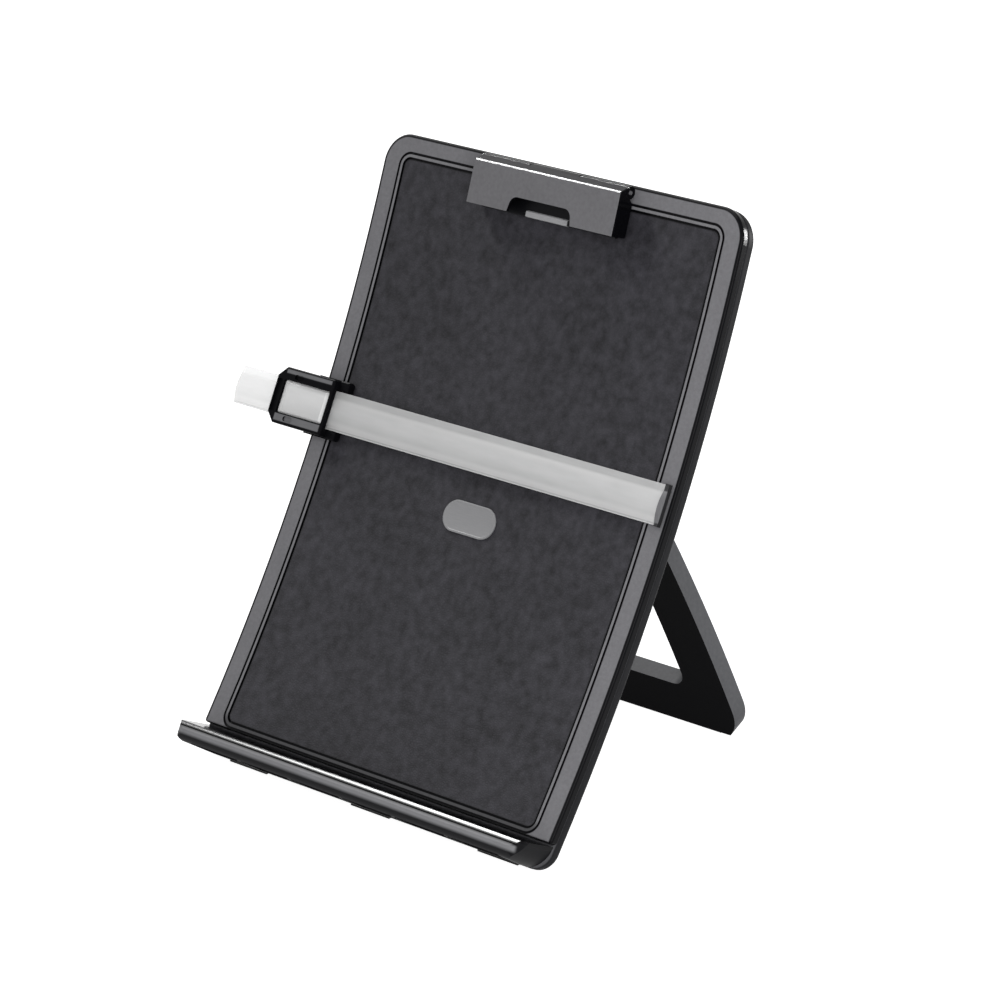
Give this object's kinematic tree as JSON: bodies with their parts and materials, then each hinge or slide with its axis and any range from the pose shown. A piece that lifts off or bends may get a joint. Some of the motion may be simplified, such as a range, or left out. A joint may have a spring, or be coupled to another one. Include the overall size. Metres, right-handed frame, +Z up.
{
  "type": "copy holder with line guide",
  "caption": "Desk copy holder: bowed board on a folding leg, with a paper ledge, a sprung top clip and a clear line guide that slides up and down and sideways.",
  "frame": {"origin": "on the desk, under the middle of the board's bottom edge, at the centre of the middle front foot pad", "axes": "+Z up, +Y from the reader to the back, +X to the reader's right"},
  "size_m": [0.29, 0.2276, 0.2971],
  "materials": {
    "frame_grey": "satin",
    "panel_grain": "leather grain",
    "badge_grey": "satin",
    "shell_dark": "fine texture",
    "clip_grey": "satin",
    "jaw_pale": "satin",
    "slider_black": "semi gloss",
    "bar_clear": "clear, milky",
    "window_clear": "clear, milky",
    "leg_black": "satin",
    "pad_rubber": "matt",
    "pin_steel": "ground",
    "spring_steel": "drawn wire",
    "screw_steel": "zinc plated",
    "washer_nylon": "natural"
  },
  "bodies": {
    "board": {"front_frame": "frame_grey", "texture_panel": "panel_grain", "badge_plate": "badge_grey", "back_shell": "shell_dark", "shell_screws": "screw_steel", "front_foot_pads": "pad_rubber", "paper_ledge": "shell_dark", "clip_hinge_pin": "pin_steel", "clip_spring": "spring_steel", "leg_hinge_pin": "pin_steel", "leg_bracket_left": "shell_dark", "leg_bracket_right": "shell_dark", "bracket_screws": "screw_steel"},
    "clip": {"clip_cover": "clip_grey", "clip_jaw": "jaw_pale", "clip_grip_pad": "pad_rubber"},
    "carriage": {"guide_carriage": "slider_black", "carriage_window": "window_clear", "carriage_clamp": "slider_black", "carriage_back_jaw": "slider_black", "carriage_friction_spring": "spring_steel", "carriage_screws": "screw_steel"},
    "guide_bar": {"guide_bar": "bar_clear", "bar_end_cap": "slider_black"},
    "leg": {"support_leg": "leg_black", "leg_foot_strip": "pad_rubber", "leg_hinge_washers": "washer_nylon"}
  },
  "joints": [
    {"name": "leg_hinge", "type": "hinge", "parent": "board", "child": "leg", "pos_m": [0, 0.11494, 0.19086], "axis": [1, 0, 0], "range_deg": [-52.9, 0]},
    {"name": "clip_hinge", "type": "hinge", "parent": "board", "child": "clip", "pos_m": [0, 0.13169, 0.29388], "axis": [-1, 0, 0], "range_deg": [0, 28], "stiffness_Nm_per_rad": 0.15, "springref_deg": -20.05, "deforming": ["clip_spring"]},
    {"name": "carriage_travel", "type": "hinge", "parent": "board", "child": "carriage", "pos_m": [0, -0.86492, 0.61181], "axis": [1, 0, 0], "range_deg": [-8.1, 5.5]},
    {"name": "bar_slide", "type": "slide", "parent": "carriage", "child": "guide_bar", "axis": [1, 0, 0], "range_m": [-0.205, 0.02]}
  ]
}
